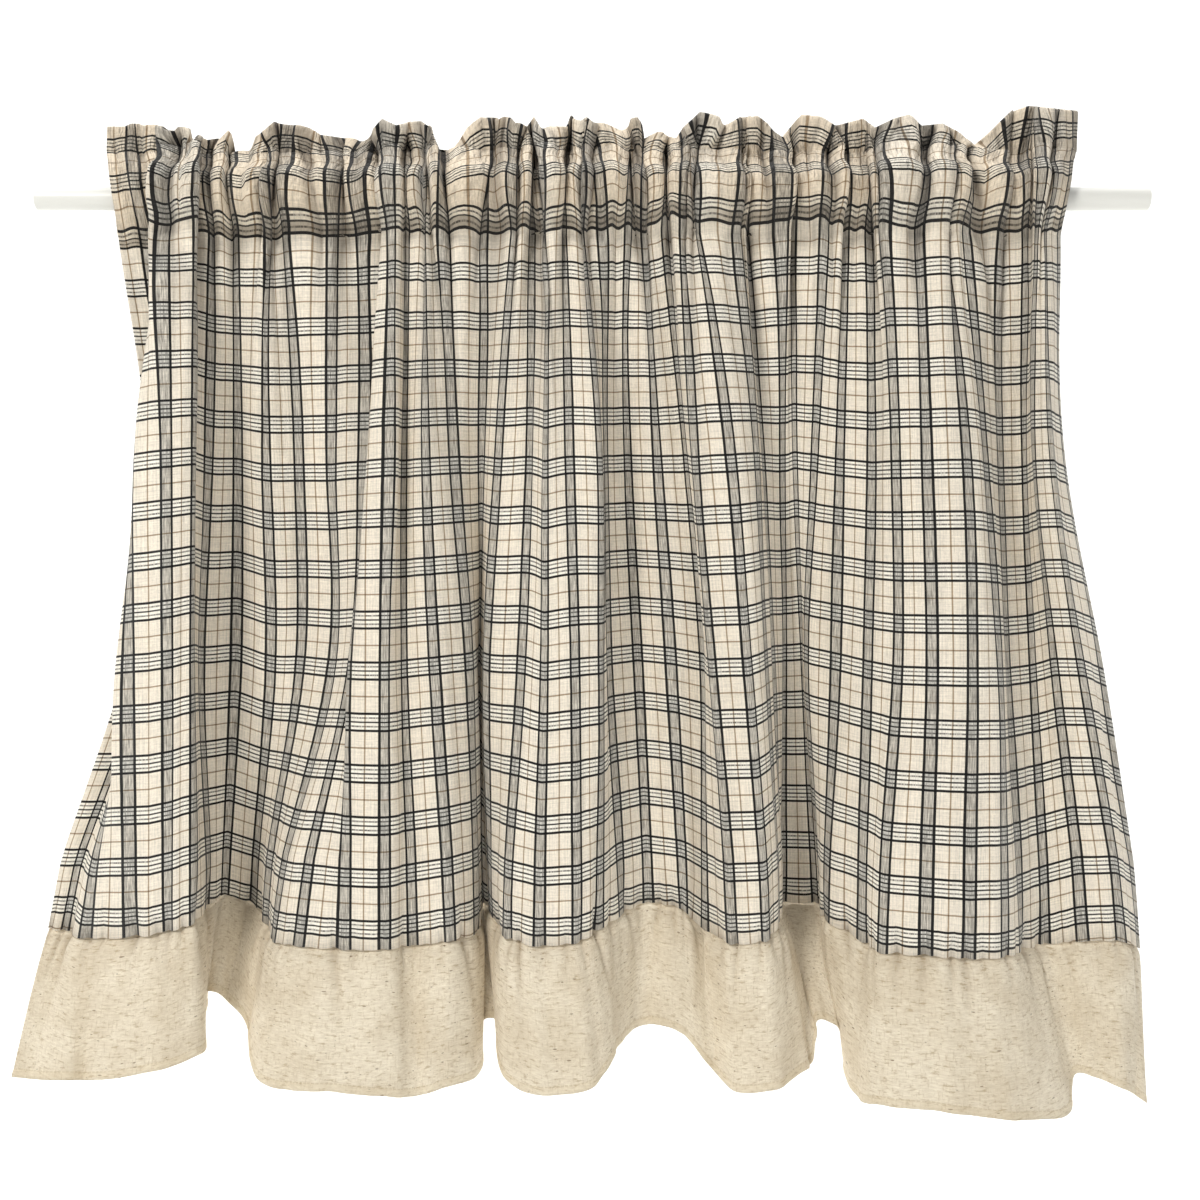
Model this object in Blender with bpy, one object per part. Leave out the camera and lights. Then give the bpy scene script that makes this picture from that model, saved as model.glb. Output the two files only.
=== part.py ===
# Rod pocket tier curtain on a rod: one gathered panel of plaid cotton with a
# ruffled header and a pocket for the rod, and a plain linen-cotton ruffle sewn
# along its foot.
#
# Frame: metres, +Z up, +X along the rod, -Y is the front of the curtain.
# Origin: on the rod's axis, halfway along the rod.

import math

import bmesh
import bpy
from mathutils import Vector

# ---------------------------------------------------------------- dimensions
ROD_LENGTH = 0.688          # visible length of the rod, end to end
ROD_DIAMETER = 0.014
SHEET = 0.0012              # thickness of one layer of cloth
DOUBLE = 0.0024             # two layers stitched together
SEAM_GAP = 0.0003           # between the panel's foot and the ruffle's head

WARP_REPEAT = 0.02635       # width of one check across the flat cloth
POCKET_FOOT = -0.022        # lower line of stitching, below the rod's axis
POCKET_HEAD = 0.0125        # where the two layers part just above the rod
PINCH = 0.030               # upper line of stitching, where the header starts

# The fold and end tables are laid out on the curtain's front elevation, on a
# grid whose step is 0.62 mm.  The elevation is drawn as an eye sees it from
# EYE_RANGE in front of the rod, level with EYE_ROW, so a fold that stands
# forward is drawn a little larger.
GRID = 0.00062
EYE_RANGE = 0.850
AXIS_ROW = 199.0            # row of the rod's axis
AXIS_COLUMN = 592.5         # column of the rod's middle
EYE_ROW = 590.0

# One row for each fold line, from the left edge to the right edge.
#   at     place across the flat cloth, in checks
#   pocket, upper, lower, foot   columns of the fold line at four heights
#   p_out, m_out, f_out          how far it stands forward, in mm, at the
#                                pocket, at mid height and at the foot
FOLD_ROWS = {"pocket": 235.0, "upper": 455.0, "lower": 660.0, "foot": 860.0}
OUT_ROWS = {"p_out": 235.0, "m_out": 560.0, "f_out": 860.0}
FOLD_COLUMNS = ("at", "pocket", "upper", "lower", "foot",
                "p_out", "m_out", "f_out")
FOLDS = (
    (0.31, 118, 146, 122, 61, -8, -16, -14),
    (1.1, 150, 172, 146, 83, -13, -22, -20),
    (2.0, 186, 174, 143, 94, -9, -8, 4),
    (3.0, 152, 134, 128, 130, 7, 16, 26),
    (3.5, 149, 147, 149, 149, 13, 24, 31),
    (4.0, 163, 166, 168, 168, 18, 30, 34),
    (4.6, 183, 184, 183, 182, 16, 28, 33),
    (5.0, 194, 193, 192, 193, 8, 18, 26),
    (5.5, 200, 199, 197, 205, -3, 6, 15),
    (6.0, 216, 209, 201, 209, -8, -7, 4),
    (7.0, 237, 238, 236, 226, -18, -25, -19),
    (8.0, 263, 266, 271, 256, -3, -13, -32),
    (9.0, 290, 299, 300, 270, -14, -21, -9),
    (10.0, 333, 331, 333, 284, -9, -10, 13),
    (11.0, 366, 364, 352, 309, -17, -2, 26),
    (11.5, 386, 385, 361, 327, -15, -1, 30),
    (12.0, 395, 373, 349, 345, -6, 6, 32),
    (12.5, 379, 368, 366, 364, 4, 17, 33),
    (13.0, 393, 390, 385, 385, 12, 24, 34),
    (14.0, 408, 404, 404, 411, -2, 9, 21),
    (15.0, 425, 426, 434, 447, 14, 24, 30),
    (16.0, 444, 454, 469, 477, -2, 10, 14),
    (17.0, 484, 482, 479, 482, -8, -14, -11),
    (18.0, 513, 498, 487, 489, 4, 8, 12),
    (19.0, 530, 530, 522, 509, -6, 14, 26),
    (20.0, 548, 545, 544, 540, 11, 22, 32),
    (21.0, 563, 569, 575, 577, -4, 24, 34),
    (22.0, 582, 600, 601, 600, 12, 20, 24),
    (23.0, 602, 604, 609, 620, -8, -4, 5),
    (24.0, 622, 627, 638, 647, -15, -20, -12),
    (25.0, 645, 657, 671, 682, -5, -6, 0),
    (26.0, 664, 686, 703, 704, -17, -10, -12),
    (27.0, 681, 694, 711, 728, 0, 6, 12),
    (28.0, 702, 731, 748, 763, 12, 22, 22),
    (29.0, 738, 757, 766, 778, -2, 12, 8),
    (30.0, 748, 762, 773, 781, -14, -9, -15),
    (31.0, 783, 783, 784, 783, -6, -30, -38),
    (32.0, 795, 795, 803, 814, -17, -26, -36),
    (33.0, 829, 815, 806, 818, -4, -26, -25),
    (34.0, 842, 840, 836, 827, -10, -12, -8),
    (35.0, 868, 871, 868, 863, -2, 2, 14),
    (36.0, 888, 896, 898, 885, 10, 18, 26),
    (37.0, 916, 926, 932, 927, 9, 28, 38),
    (38.0, 947, 967, 973, 970, 10, 26, 40),
    (39.0, 966, 986, 1000, 1005, 0, 12, 34),
    (40.0, 998, 999, 1007, 1018, -12, -10, 12),
    (41.0, 1027, 1025, 1033, 1043, -8, -22, -6),
    (42.0, 1036, 1034, 1054, 1077, 8, -4, 2),
    (43.0, 1046, 1052, 1080, 1114, 12, 10, 4),
    (44.1, 1060, 1064, 1101, 1132, -8, -12, -18),
)

# One row for each place where the ends of the cloth change.
#   at       place across the flat cloth, in checks
#   head     row of the header's top edge
#   seam     row of the seam between the panel and the ruffle
#   hem_col, hem_row   where the ruffle's lower edge hangs
END_COLUMNS = ("at", "head", "seam", "hem_col", "hem_row")
ENDS = (
    (0.31, 127, 930, 14, 1076),
    (1.1, 124, 932, 34, 1079),
    (2.0, 127, 940, 70, 1080),
    (3.5, 128, 937, 134, 1075),
    (5.0, 127, 925, 194, 1056),
    (6.0, 136, 908, 209, 1015),
    (7.0, 131, 894, 214, 992),
    (8.0, 150, 905, 229, 1003),
    (9.0, 130, 925, 246, 1024),
    (10.0, 131, 943, 258, 1074),
    (12.0, 128, 951, 330, 1091),
    (13.0, 122, 950, 380, 1096),
    (15.0, 132, 942, 447, 1087),
    (16.0, 148, 935, 478, 1069),
    (17.0, 133, 903, 486, 1020),
    (18.0, 118, 915, 497, 1032),
    (19.0, 122, 940, 512, 1085),
    (20.0, 125, 948, 550, 1095),
    (21.0, 120, 944, 592, 1086),
    (22.0, 118, 930, 613, 1057),
    (23.0, 122, 915, 622, 1036),
    (24.0, 118, 902, 651, 1024),
    (25.0, 128, 912, 682, 1033),
    (26.0, 125, 930, 706, 1062),
    (27.0, 114, 946, 735, 1090),
    (28.0, 117, 942, 772, 1089),
    (29.0, 125, 925, 800, 1071),
    (30.0, 132, 912, 814, 1058),
    (31.0, 125, 903, 817, 1022),
    (32.0, 116, 904, 829, 1022),
    (33.0, 118, 908, 840, 1032),
    (34.0, 124, 920, 846, 1062),
    (35.0, 121, 943, 857, 1097),
    (36.0, 116, 954, 880, 1104),
    (37.0, 124, 957, 930, 1110),
    (38.0, 128, 961, 985, 1117),
    (39.0, 140, 958, 1030, 1119),
    (40.0, 140, 952, 1066, 1112),
    (41.0, 115, 945, 1075, 1074),
    (42.0, 106, 942, 1100, 1079),
    (43.0, 108, 942, 1126, 1090),
    (44.1, 111, 949, 1147, 1103),
)

# The two side edges spread a little towards the header.
EDGE_FLARE_LEFT = 10.0
EDGE_FLARE_RIGHT = 17.0
EDGE_FLARE_SPAN = 2.6       # in checks from the edge

# Rows of the section through the rod pocket, from the top row down.
#   z          height above the rod's axis, mm
#   lead       how far the layer stands clear of the rod's axis, mm
#   keep       share of the fold depth that is left at this height
POCKET_COLUMNS = ("z", "lead", "keep")
POCKET_FRONT = (
    (9.8, 3.2, 0.25),
    (5.0, 8.7, 0.35),
    (-4.0, 9.5, 0.45),
    (-13.0, 4.5, 0.50),
    (-18.5, 1.5, 0.58),
)
DEEPEST = -18.0             # the furthest back a fold line lies at the rod
SHALLOWEST = 18.0           # the furthest forward

COLUMNS_PER_CHECK = 2
PANEL_ROWS = 7
RUFFLE_ROWS = 3


# ------------------------------------------------------------------ functions
def column(table, names, name):
    i = names.index(name)
    return [row[i] for row in table]


def curve(xs, ys, x):
    """Smooth curve through (xs, ys): a cubic Hermite with limited slopes."""
    n = len(xs)
    if x <= xs[0]:
        i = 0
    elif x >= xs[-1]:
        i = n - 2
    else:
        i = max(k for k in range(n - 1) if xs[k] <= x)

    def slope(k):
        if k == 0:
            return (ys[1] - ys[0]) / (xs[1] - xs[0])
        if k == n - 1:
            return (ys[-1] - ys[-2]) / (xs[-1] - xs[-2])
        a = (ys[k] - ys[k - 1]) / (xs[k] - xs[k - 1])
        b = (ys[k + 1] - ys[k]) / (xs[k + 1] - xs[k])
        ha, hb = xs[k] - xs[k - 1], xs[k + 1] - xs[k]
        return (a * hb + b * ha) / (ha + hb)

    h = xs[i + 1] - xs[i]
    u = (x - xs[i]) / h
    m0, m1 = slope(i) * h, slope(i + 1) * h
    if u < 0.0:
        return ys[0] + m0 * u
    if u > 1.0:
        return ys[-1] + m1 * (u - 1.0)
    return ((2 * u ** 3 - 3 * u ** 2 + 1) * ys[i] + (u ** 3 - 2 * u ** 2 + u) * m0
            + (-2 * u ** 3 + 3 * u ** 2) * ys[i + 1] + (u ** 3 - u ** 2) * m1)


def straight(xs, ys, x):
    x = min(max(x, xs[0]), xs[-1])
    i = max(k for k in range(len(xs) - 1) if xs[k] <= x)
    u = (x - xs[i]) / (xs[i + 1] - xs[i])
    return ys[i] * (1 - u) + ys[i + 1] * u


FOLD_AT = column(FOLDS, FOLD_COLUMNS, "at")
END_AT = column(ENDS, END_COLUMNS, "at")
FIRST, LAST = FOLD_AT[0], FOLD_AT[-1]


def fold_column(at, row):
    """Column of the cloth at this place, at this row of the elevation."""
    rows = list(FOLD_ROWS.values())
    cols = [curve(FOLD_AT, column(FOLDS, FOLD_COLUMNS, n), at) for n in FOLD_ROWS]
    if row >= rows[-1]:
        slope = (cols[-1] - cols[-2]) / (rows[-1] - rows[-2])
        return cols[-1] + slope * 0.6 * (row - rows[-1])
    if row <= rows[0]:
        rise = min(1.0, (rows[0] - row) / (rows[0] - 150.0))
        left = max(0.0, 1.0 - (at - FIRST) / EDGE_FLARE_SPAN)
        right = max(0.0, 1.0 - (LAST - at) / EDGE_FLARE_SPAN)
        return cols[0] + rise * (right * EDGE_FLARE_RIGHT - left * EDGE_FLARE_LEFT)
    return curve(rows, cols, row)


def fold_out(at, row):
    """How far the cloth stands forward here, in metres."""
    rows = list(OUT_ROWS.values())
    outs = [curve(FOLD_AT, column(FOLDS, FOLD_COLUMNS, n), at) for n in OUT_ROWS]
    return 0.001 * straight(rows, outs, row)


def end_value(at, name):
    return straight(END_AT, column(ENDS, END_COLUMNS, name), at)


def place(col, row, out):
    """The point in space that the elevation shows at this column and row."""
    near = 1.0 - out / EYE_RANGE
    eye_z = (AXIS_ROW - EYE_ROW) * GRID
    return Vector(((col - AXIS_COLUMN) * GRID * near, -out,
                   eye_z + (EYE_ROW - row) * GRID * near))


def row_of(z):
    return AXIS_ROW - z / GRID


def at_height(at, z, out):
    """The point on the cloth at this place and true height."""
    p = place(fold_column(at, row_of(z)), row_of(z), out)
    return Vector((p.x, p.y, z))


STATIONS = []
for a, b in zip(FOLD_AT[:-1], FOLD_AT[1:]):
    steps = max(1, round((b - a) * COLUMNS_PER_CHECK))
    STATIONS += [a + (b - a) * k / steps for k in range(steps)]
STATIONS.append(LAST)


def normals(grid):
    """Unit normals of a grid of points, one list for each row; front is -Y."""
    out = []
    for r, line in enumerate(grid):
        up = grid[max(r - 1, 0)]
        down = grid[min(r + 1, len(grid) - 1)]
        ns = []
        for c in range(len(line)):
            along = line[min(c + 1, len(line) - 1)] - line[max(c - 1, 0)]
            fall = down[c] - up[c]
            ns.append(fall.cross(along).normalized())
        out.append(ns)
    return out


def level(ns):
    """The same normals laid level, for an edge that is cut square."""
    return [Vector((n.x, n.y, 0.0)).normalized() for n in ns]


def shifted(grid, norms, distance):
    return [[p + n * distance for p, n in zip(line, ns)]
            for line, ns in zip(grid, norms)]


def add_rows(bm, grid):
    return [[bm.verts.new(p) for p in line] for line in grid]


def skin(bm, upper, lower, flip=False):
    """A strip between two rows.  Each cell is split along the same diagonal on
    both sides of the cloth, so that the two sides stay parallel."""
    for c in range(len(upper) - 1):
        for tri in ([upper[c], lower[c], lower[c + 1]],
                    [upper[c], lower[c + 1], upper[c + 1]]):
            bm.faces.new(tri[::-1] if flip else tri)


def edge_strip(bm, front, back, flip=False):
    """The cut edge between two skins, split along the same diagonals on each
    side of a seam, so that the two cut edges stay parallel."""
    for c in range(len(front) - 1):
        for tri in ([front[c], back[c], back[c + 1]],
                    [front[c], back[c + 1], front[c + 1]]):
            bm.faces.new(tri[::-1] if flip else tri)


def finish(bm, name, material, smooth=True):
    bmesh.ops.recalc_face_normals(bm, faces=bm.faces[:])
    mesh = bpy.data.meshes.new(name)
    bm.to_mesh(mesh)
    bm.free()
    if smooth:
        mesh.shade_smooth()
    mesh.materials.append(material)
    obj = bpy.data.objects.new(name, mesh)
    bpy.context.scene.collection.objects.link(obj)
    return obj


def principled(name, colour, roughness, metallic=0.0):
    mat = bpy.data.materials.new(name)
    mat.use_nodes = True
    shader = mat.node_tree.nodes["Principled BSDF"]
    shader.inputs["Base Color"].default_value = (*colour, 1.0)
    shader.inputs["Roughness"].default_value = roughness
    shader.inputs["Metallic"].default_value = metallic
    mat.diffuse_color = (*colour, 1.0)
    return mat


# ---------------------------------------------------------------------- panel
def header_lines():
    """Middle surface of the double cloth above the rod, from the top down."""
    lines = []
    for share in (1.0, 0.5, 0.0):
        line = []
        for at in STATIONS:
            top = place(0.0, end_value(at, "head"), 0.0).z
            z = PINCH + (top - PINCH) * share
            out = fold_out(at, 235.0) * (0.55 + 0.35 * share)
            line.append(at_height(at, z, out))
        lines.append(line)
    lines.append([at_height(at, POCKET_HEAD, fold_out(at, 235.0) * 0.25)
                  for at in STATIONS])
    return lines


def pocket_lines(front):
    """Middle surface of the pocket's front or back layer, from the top down."""
    lines = []
    for z, lead, keep in POCKET_FRONT:
        line = []
        for at in STATIONS:
            fold = fold_out(at, 235.0) * 1000.0
            rest = DEEPEST if front else SHALLOWEST
            slack = 0.0 if abs(z) < 6.0 else 1.0
            # round the rod every fold stands clear of it; above and below it
            # the folds draw back to the middle
            base = keep * (fold - rest * (1.0 - slack))
            out = (lead if front else -lead) + base
            line.append(at_height(at, z * 0.001, out * 0.001))
        lines.append(line)
    return lines


def hanging_lines():
    """Middle surface of the single cloth below the pocket, top to bottom."""
    lines = []
    for r in range(PANEL_ROWS + 1):
        line = []
        for at in STATIONS:
            seam = end_value(at, "seam")
            seam_out = fold_out(at, seam)
            foot = place(0.0, seam, seam_out).z
            z = POCKET_FOOT + (foot - POCKET_FOOT) * r / PANEL_ROWS
            row = EYE_ROW - (z - (AXIS_ROW - EYE_ROW) * GRID) / GRID
            keep = 0.62 + 0.38 * min(1.0, (POCKET_FOOT - z) / 0.06)
            out = fold_out(at, row) * keep
            # the elevation's row, corrected for how near this point is
            near = 1.0 - out / EYE_RANGE
            seen = EYE_ROW - (z - (AXIS_ROW - EYE_ROW) * GRID) / (GRID * near)
            p = place(fold_column(at, seen), seen, out)
            line.append(Vector((p.x, p.y, z)))
        lines.append(line)
    return lines


def build_panel(material):
    head, hang = header_lines(), hanging_lines()
    front, back = pocket_lines(True), pocket_lines(False)
    fn = normals([head[-1]] + front + [hang[0]])[1:-1]
    bk = normals([head[-1]] + back + [hang[0]])[1:-1]
    hn, gn = normals(head), normals(hang)
    gn[-1] = level(gn[-1])

    half, whole = SHEET / 2, DOUBLE / 2
    head_f = shifted(head, hn, whole)
    head_b = shifted(head, hn, -whole)
    hang_f = shifted(hang[:1], gn[:1], whole) + shifted(hang[1:], gn[1:], half)
    hang_b = shifted(hang[:1], gn[:1], -whole) + shifted(hang[1:], gn[1:], -half)

    bm = bmesh.new()
    outer_f = add_rows(bm, head_f + shifted(front, fn, half) + hang_f)
    outer_b = add_rows(bm, head_b + shifted(back, bk, -half) + hang_b)
    inner_f = add_rows(bm, shifted(front, fn, -half))
    inner_b = add_rows(bm, shifted(back, bk, half))

    for a, b in zip(outer_f[:-1], outer_f[1:]):
        skin(bm, a, b)
    for a, b in zip(outer_b[:-1], outer_b[1:]):
        skin(bm, a, b, flip=True)
    skin(bm, outer_b[0], outer_f[0])
    edge_strip(bm, outer_f[-1], outer_b[-1])
    for a, b in zip(inner_f[:-1], inner_f[1:]):
        skin(bm, a, b, flip=True)
    for a, b in zip(inner_b[:-1], inner_b[1:]):
        skin(bm, a, b)
    skin(bm, inner_f[0], inner_b[0])
    skin(bm, inner_b[-1], inner_f[-1])

    # the two side edges of the cloth
    h, p = len(head), len(front)
    for c, turn in ((0, False), (-1, True)):
        cells = []
        for r in range(len(outer_f) - 1):
            if r < h - 1 or r >= h + p:
                cells.append([outer_f[r][c], outer_f[r + 1][c],
                              outer_b[r + 1][c], outer_b[r][c]])
        for r in range(p - 1):
            cells.append([outer_f[h + r][c], outer_f[h + r + 1][c],
                          inner_f[r + 1][c], inner_f[r][c]])
            cells.append([inner_b[r][c], inner_b[r + 1][c],
                          outer_b[h + r + 1][c], outer_b[h + r][c]])
        cells.append([outer_f[h - 1][c], outer_f[h][c], inner_f[0][c],
                      inner_b[0][c], outer_b[h][c], outer_b[h - 1][c]])
        cells.append([outer_f[h + p - 1][c], outer_f[h + p][c],
                      outer_b[h + p][c], outer_b[h + p - 1][c],
                      inner_b[-1][c], inner_f[-1][c]])
        for cell in cells:
            bm.faces.new(cell[::-1] if turn else cell)
    return finish(bm, "plaid_panel", material), hang


# --------------------------------------------------------------------- ruffle
def build_ruffle(material, hang):
    """The ruffle hangs from the panel's foot and flares to its own hem."""
    grid = []
    for r in range(RUFFLE_ROWS + 1):
        share = r / RUFFLE_ROWS
        line = []
        for c, at in enumerate(STATIONS):
            top = hang[-1][c] - Vector((0.0, 0.0, SEAM_GAP))
            out = -top.y * 1.12 + 0.004 * share
            low = place(end_value(at, "hem_col"), end_value(at, "hem_row"), out)
            low = top.lerp(low, share)
            low.y = -out * share + top.y * (1.0 - share)
            line.append(low)
        grid.append(line)
    norms = normals(grid)
    norms[0] = level(norms[0])
    bm = bmesh.new()
    front = add_rows(bm, shifted(grid, norms, SHEET / 2))
    back = add_rows(bm, shifted(grid, norms, -SHEET / 2))
    for a, b in zip(front[:-1], front[1:]):
        skin(bm, a, b)
    for a, b in zip(back[:-1], back[1:]):
        skin(bm, a, b, flip=True)
    edge_strip(bm, front[0], back[0], flip=True)
    skin(bm, front[-1], back[-1])
    for c, turn in ((0, False), (-1, True)):
        for r in range(RUFFLE_ROWS):
            cell = [front[r][c], front[r + 1][c], back[r + 1][c], back[r][c]]
            bm.faces.new(cell[::-1] if turn else cell)
    return finish(bm, "hem_ruffle", material)


# ------------------------------------------------------------------------ rod
def build_rod(material):
    bm = bmesh.new()
    bmesh.ops.create_cone(bm, cap_ends=True, segments=40,
                          radius1=ROD_DIAMETER / 2, radius2=ROD_DIAMETER / 2,
                          depth=ROD_LENGTH)
    obj = finish(bm, "rod", material)
    obj.data.set_sharp_from_angle(angle=math.radians(40))
    obj.rotation_euler = (0.0, math.radians(90), 0.0)
    return obj


# ----------------------------------------------------------------------- main
for old in list(bpy.data.objects):
    bpy.data.objects.remove(old, do_unlink=True)

plaid = principled("plaid_cotton", (0.66, 0.60, 0.50), 0.9)
linen = principled("oatmeal_linen", (0.78, 0.69, 0.53), 0.92)
painted = principled("pale_rod", (0.90, 0.90, 0.86), 0.35)

panel, hanging = build_panel(plaid)
build_ruffle(linen, hanging)
build_rod(painted)
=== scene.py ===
import math

import bpy
import numpy as np
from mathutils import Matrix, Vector


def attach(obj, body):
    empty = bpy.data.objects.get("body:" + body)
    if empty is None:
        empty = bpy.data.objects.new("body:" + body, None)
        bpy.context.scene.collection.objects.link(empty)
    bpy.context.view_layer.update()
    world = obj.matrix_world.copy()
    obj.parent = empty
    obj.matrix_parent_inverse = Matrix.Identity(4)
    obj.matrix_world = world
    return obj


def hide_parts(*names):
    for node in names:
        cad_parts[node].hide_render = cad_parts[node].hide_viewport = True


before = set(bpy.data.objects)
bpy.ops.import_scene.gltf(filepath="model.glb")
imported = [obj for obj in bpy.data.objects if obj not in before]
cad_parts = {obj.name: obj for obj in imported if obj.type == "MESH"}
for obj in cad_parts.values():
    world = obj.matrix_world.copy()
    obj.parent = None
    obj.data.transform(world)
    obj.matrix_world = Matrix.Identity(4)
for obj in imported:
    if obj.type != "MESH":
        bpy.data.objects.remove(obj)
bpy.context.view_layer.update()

# ---------------------------------------------------------------- the cloth's
# layout, as in the solids: front elevation on a 0.62 mm grid, drawn as seen
# from EYE_RANGE in front of the rod, level with EYE_ROW.
GRID = 0.00062
EYE_RANGE = 0.850
AXIS_ROW = 199.0
AXIS_COLUMN = 592.5
EYE_ROW = 590.0
EYE_Z = (AXIS_ROW - EYE_ROW) * GRID
PINCH = 0.030
POCKET_FOOT = -0.022
WARP_REPEAT = 0.02635
WEFT_REPEAT = 0.0310
THICK = 0.0006

FOLD_ROWS = np.array([235.0, 455.0, 660.0, 860.0])
OUT_ROWS = np.array([235.0, 560.0, 860.0])
# at, pocket, upper, lower, foot (columns of the fold line at four heights),
# p_out, m_out, f_out (mm forward at the pocket, mid height and the foot)
FOLDS = np.array((
    (0.31, 118, 146, 125, 61, -8, -13, -4),
    (1.1, 150, 172, 150, 81, -13, -18, -5),
    (2.0, 186, 178, 141, 95, -9, -10, 8),
    (2.3, 184, 167, 126, 103, -5, -3, 13),
    (2.66, 176, 149, 117, 116, 0, 7, 20),
    (3.1, 163, 134, 133, 134, 6, 17, 27),
    (3.5, 154, 148, 149, 149, 13, 24, 31),
    (3.75, 152, 157, 158, 158, 16, 28, 33),
    (4.0, 163, 166, 168, 168, 18, 30, 34),
    (4.6, 183, 184, 183, 182, 16, 28, 33),
    (5.0, 195, 194, 193, 194, 11, 24, 31),
    (5.5, 197, 196, 195, 201, -3, 6, 15),
    (6.0, 216, 209, 201, 208, -8, -9, -7),
    (7.0, 237, 238, 236, 226, -18, -25, -19),
    (8.0, 263, 266, 271, 256, -3, -13, -32),
    (9.0, 290, 299, 300, 270, -14, -21, -9),
    (10.0, 333, 331, 333, 284, -9, -10, 13),
    (11.0, 366, 364, 352, 309, -17, -2, 26),
    (11.5, 386, 385, 361, 327, -15, -1, 30),
    (12.0, 395, 373, 349, 345, -6, 6, 32),
    (12.5, 379, 368, 366, 364, 4, 17, 33),
    (13.0, 393, 390, 385, 385, 12, 24, 34),
    (14.0, 408, 404, 404, 411, -2, 9, 21),
    (15.0, 425, 426, 434, 447, 14, 24, 30),
    (16.0, 444, 454, 469, 476, -2, 10, 6),
    (17.0, 484, 482, 479, 482, -8, -14, -15),
    (18.0, 513, 498, 487, 490, 4, 4, -2),
    (19.0, 530, 530, 522, 509, -6, 14, 26),
    (20.0, 548, 545, 544, 540, 11, 22, 32),
    (21.0, 563, 569, 575, 577, -4, 24, 34),
    (22.0, 582, 600, 601, 600, 12, 20, 24),
    (23.0, 602, 604, 609, 620, -8, -4, 5),
    (24.0, 622, 627, 638, 647, -15, -20, -12),
    (25.0, 645, 657, 671, 682, -5, -6, 0),
    (26.0, 664, 686, 703, 704, -17, -10, -12),
    (27.0, 681, 694, 711, 728, 0, 6, 12),
    (28.0, 702, 731, 748, 763, 12, 22, 22),
    (29.0, 738, 757, 766, 778, -2, 12, 8),
    (30.0, 748, 762, 773, 781, -14, -9, -15),
    (31.0, 783, 783, 784, 783, -6, -30, -38),
    (32.0, 795, 795, 803, 814, -17, -26, -36),
    (33.0, 829, 815, 806, 818, -4, -26, -25),
    (34.0, 842, 840, 836, 827, -10, -12, -8),
    (35.0, 868, 871, 868, 863, -2, 2, 14),
    (36.0, 888, 896, 898, 885, 10, 18, 26),
    (37.0, 916, 926, 932, 927, 9, 28, 38),
    (38.0, 947, 967, 973, 970, 10, 26, 40),
    (39.0, 966, 986, 1000, 1005, 0, 12, 34),
    (40.0, 998, 999, 1007, 1018, -12, -10, 12),
    (41.0, 1027, 1025, 1033, 1043, -8, -22, -6),
    (42.0, 1036, 1034, 1054, 1077, 8, -4, 2),
    (43.0, 1046, 1052, 1080, 1114, 12, 10, 4),
    (44.1, 1060, 1064, 1101, 1132, -8, -12, -18),
), dtype=float)

# at, head (row of the header's top edge), first and last (rows of the first
# and fifteenth weft stripe group), seam, hem_col, hem_row
ENDS = np.array((
    (0.31, 127, 240, 905, 930, 14, 1076),
    (1.1, 124, 240, 905, 932, 34, 1079),
    (2.0, 127, 224, 918, 940, 70, 1080),
    (3.5, 128, 209, 917, 937, 134, 1075),
    (5.0, 127, 210, 903, 925, 194, 1056),
    (5.4, 131, 216, 899, 918, 205, 1046),
    (5.9, 135, 224, 893, 910, 203, 1012),
    (6.4, 134, 227, 890, 902, 206, 994),
    (7.0, 131, 229, 886, 894, 214, 991),
    (8.0, 150, 229, 896, 905, 229, 1003),
    (9.0, 130, 228, 908, 925, 246, 1024),
    (10.0, 131, 225, 920, 943, 258, 1074),
    (12.0, 128, 222, 929, 951, 330, 1091),
    (13.0, 122, 214, 930, 950, 380, 1096),
    (15.0, 132, 222, 917, 942, 447, 1087),
    (15.7, 143, 220, 910, 937, 475, 1076),
    (16.1, 146, 219, 905, 932, 482, 1064),
    (16.5, 141, 220, 898, 920, 481, 1034),
    (17.0, 133, 221, 888, 903, 485, 1019),
    (17.6, 124, 220, 896, 908, 497, 1020),
    (18.1, 118, 219, 906, 917, 498, 1036),
    (18.5, 120, 218, 913, 928, 501, 1062),
    (19.0, 122, 216, 920, 940, 512, 1084),
    (20.0, 125, 220, 928, 948, 550, 1095),
    (21.0, 120, 216, 926, 944, 592, 1086),
    (22.0, 118, 219, 915, 930, 613, 1057),
    (23.0, 122, 220, 900, 915, 622, 1036),
    (24.0, 118, 217, 891, 902, 651, 1024),
    (25.0, 128, 220, 897, 912, 682, 1033),
    (26.0, 125, 206, 910, 930, 706, 1062),
    (27.0, 114, 207, 924, 946, 735, 1090),
    (28.0, 117, 208, 922, 942, 772, 1089),
    (29.0, 125, 213, 905, 925, 800, 1071),
    (30.0, 132, 216, 893, 912, 814, 1058),
    (31.0, 125, 210, 886, 903, 817, 1022),
    (32.0, 116, 207, 887, 904, 829, 1022),
    (33.0, 118, 208, 892, 908, 840, 1032),
    (34.0, 124, 218, 905, 920, 846, 1062),
    (35.0, 121, 220, 922, 943, 857, 1097),
    (36.0, 116, 212, 935, 954, 880, 1104),
    (37.0, 124, 214, 940, 957, 930, 1110),
    (38.0, 128, 209, 944, 961, 985, 1117),
    (39.0, 140, 215, 942, 958, 1030, 1119),
    (40.0, 140, 222, 935, 952, 1066, 1112),
    (41.0, 115, 216, 925, 945, 1075, 1074),
    (42.0, 106, 215, 915, 942, 1100, 1079),
    (43.0, 108, 217, 914, 942, 1126, 1090),
    (44.1, 111, 218, 927, 949, 1147, 1103),
), dtype=float)

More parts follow.
